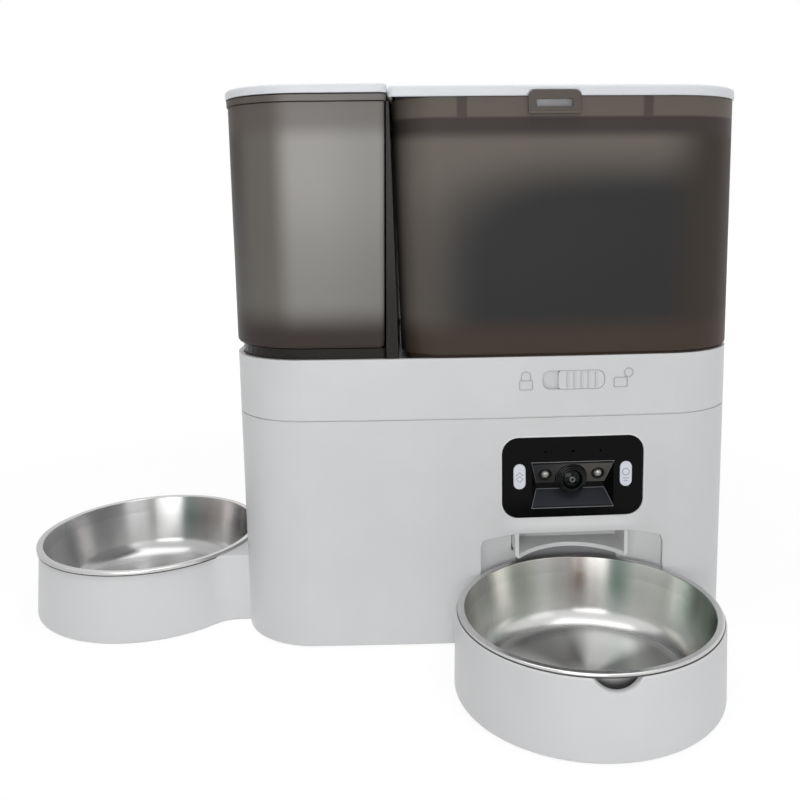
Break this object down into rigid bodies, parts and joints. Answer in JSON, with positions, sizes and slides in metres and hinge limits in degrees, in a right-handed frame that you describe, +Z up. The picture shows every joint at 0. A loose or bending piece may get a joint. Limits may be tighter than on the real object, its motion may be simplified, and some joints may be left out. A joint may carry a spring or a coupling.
{
  "type": "automatic pet feeder with camera",
  "caption": "Countertop pet feeder and gravity waterer: smoked hopper and tank on a white base with camera panel, food chute and two steel bowls in holders.",
  "frame": {"origin": "under the middle of the bounding box, on the floor", "axes": "+Z up, the camera and the food bowl face -Y, the water bowl is at -X"},
  "size_m": [0.4398, 0.296, 0.3218],
  "materials": {
    "white_plastic": "satin",
    "grey_plastic": "matte",
    "smoked_plastic": "frosted translucent",
    "stainless": "satin",
    "black_gloss": "gloss",
    "dark_lens": "gloss",
    "rubber": "matte",
    "steel": "plain",
    "brass": "plain",
    "gear_plastic": "matte",
    "circuit_board": "matte",
    "black_plastic": "matte"
  },
  "bodies": {
    "base": {"base_housing": "white_plastic", "bowl_niche": "white_plastic", "base_plate": "grey_plastic", "rubber_feet": "rubber", "plate_screws": "steel", "collar_housing": "white_plastic", "collar_screws": "steel", "tank_seat": "smoked_plastic", "water_receiver": "grey_plastic", "receiver_seal": "rubber", "water_pipe": "grey_plastic", "outlet_seal": "rubber", "water_bowl_holder": "white_plastic", "holder_screws": "steel", "rotor_housing": "grey_plastic", "rotor_bush": "brass", "gearbox_cover": "grey_plastic", "gearbox_screws": "steel", "gear_motor": "steel", "motor_screws": "steel", "chute": "white_plastic", "chute_screws": "steel", "camera_panel": "black_gloss", "camera_barrel": "black_gloss", "camera_lens": "dark_lens", "ir_leds": "dark_lens", "camera_board": "circuit_board", "main_board": "circuit_board", "speaker": "black_plastic", "power_inlet": "black_plastic"},
    "hopper": {"hopper": "smoked_plastic", "hopper_funnel": "smoked_plastic", "hinge_pins": "steel"},
    "hopper_lid": {"hopper_lid": "white_plastic", "lid_seal": "rubber", "desiccant_box": "grey_plastic"},
    "desiccant_cover": {"desiccant_grille": "grey_plastic"},
    "lid_latch": {"lid_latch": "smoked_plastic"},
    "water_tank": {"water_tank": "smoked_plastic", "tank_cap": "grey_plastic", "cap_gasket": "rubber", "valve_spring": "steel"},
    "tank_lid": {"tank_lid": "white_plastic", "tank_lid_seal": "rubber"},
    "valve": {"valve_stem": "white_plastic"},
    "rotor": {"feed_rotor": "grey_plastic", "rotor_shaft": "steel", "rotor_gear": "gear_plastic"},
    "pinion": {"motor_shaft": "steel", "motor_pinion": "brass"},
    "lock": {"lock_slider": "white_plastic"},
    "button_left": {"button_left": "white_plastic"},
    "button_right": {"button_right": "white_plastic"},
    "food_tray": {"food_bowl_holder": "white_plastic"},
    "food_bowl": {"food_bowl": "stainless"},
    "water_bowl": {"water_bowl": "stainless"}
  },
  "joints": [
    {"name": "hopper_lift", "type": "slide", "parent": "base", "child": "hopper", "axis": [0, 0, 1], "range_m": [0, 0.2]},
    {"name": "lid_hinge", "type": "hinge", "parent": "hopper", "child": "hopper_lid", "pos_m": [0.1188, 0.14485, 0.3143], "axis": [-1, 0, 0], "range_deg": [0, 100]},
    {"name": "grille_pull", "type": "slide", "parent": "hopper_lid", "child": "desiccant_cover", "axis": [0, 0, -1], "range_m": [0, 0.03]},
    {"name": "latch_flex", "type": "hinge", "parent": "hopper", "child": "lid_latch", "pos_m": [0.1068, -0.03048, 0.3066], "axis": [0.9999, 0.0149, 0], "range_deg": [0, 12], "stiffness_Nm_per_rad": 0.05},
    {"name": "tank_lift", "type": "slide", "parent": "base", "child": "water_tank", "axis": [0, 0, 1], "range_m": [0, 0.2]},
    {"name": "tank_lid_lift", "type": "slide", "parent": "water_tank", "child": "tank_lid", "axis": [0, 0, 1], "range_m": [0, 0.05]},
    {"name": "valve_press", "type": "slide", "parent": "water_tank", "child": "valve", "axis": [0, 0, 1], "range_m": [0, 0.0035], "stiffness_N_per_m": 150, "deforming": ["valve_spring"]},
    {"name": "rotor_spin", "type": "hinge", "parent": "base", "child": "rotor", "pos_m": [0.1188, 0.07145, 0.1364], "axis": [0, 0, 1], "continuous": true},
    {"name": "pinion_spin", "type": "hinge", "parent": "base", "child": "pinion", "pos_m": [0.1188, 0.09065, 0.1364], "axis": [0, 0, 1], "continuous": true},
    {"name": "lock_slide", "type": "slide", "parent": "base", "child": "lock", "axis": [-0.9998, -0.0199, 0], "range_m": [0, 0.007]},
    {"name": "button_left_press", "type": "slide", "parent": "base", "child": "button_left", "axis": [-0.0199, 0.9998, 0], "range_m": [0, 0.001], "stiffness_N_per_m": 500},
    {"name": "button_right_press", "type": "slide", "parent": "base", "child": "button_right", "axis": [-0.0199, 0.9998, 0], "range_m": [0, 0.001], "stiffness_N_per_m": 500},
    {"name": "food_tray_slide", "type": "slide", "parent": "base", "child": "food_tray", "axis": [0, -1, 0], "range_m": [0, 0.08]},
    {"name": "food_bowl_tip", "type": "hinge", "parent": "food_tray", "child": "food_bowl", "pos_m": [0.1188, -0.00605, 0.0426], "axis": [-1, 0, 0], "range_deg": [0, 14]},
    {"name": "water_bowl_lift", "type": "slide", "parent": "base", "child": "water_bowl", "axis": [0, 0, 1], "range_m": [0, 0.06]}
  ],
  "couplings": [
    {"joint": "pinion_spin", "follows": "rotor_spin", "ratio": -3}
  ]
}
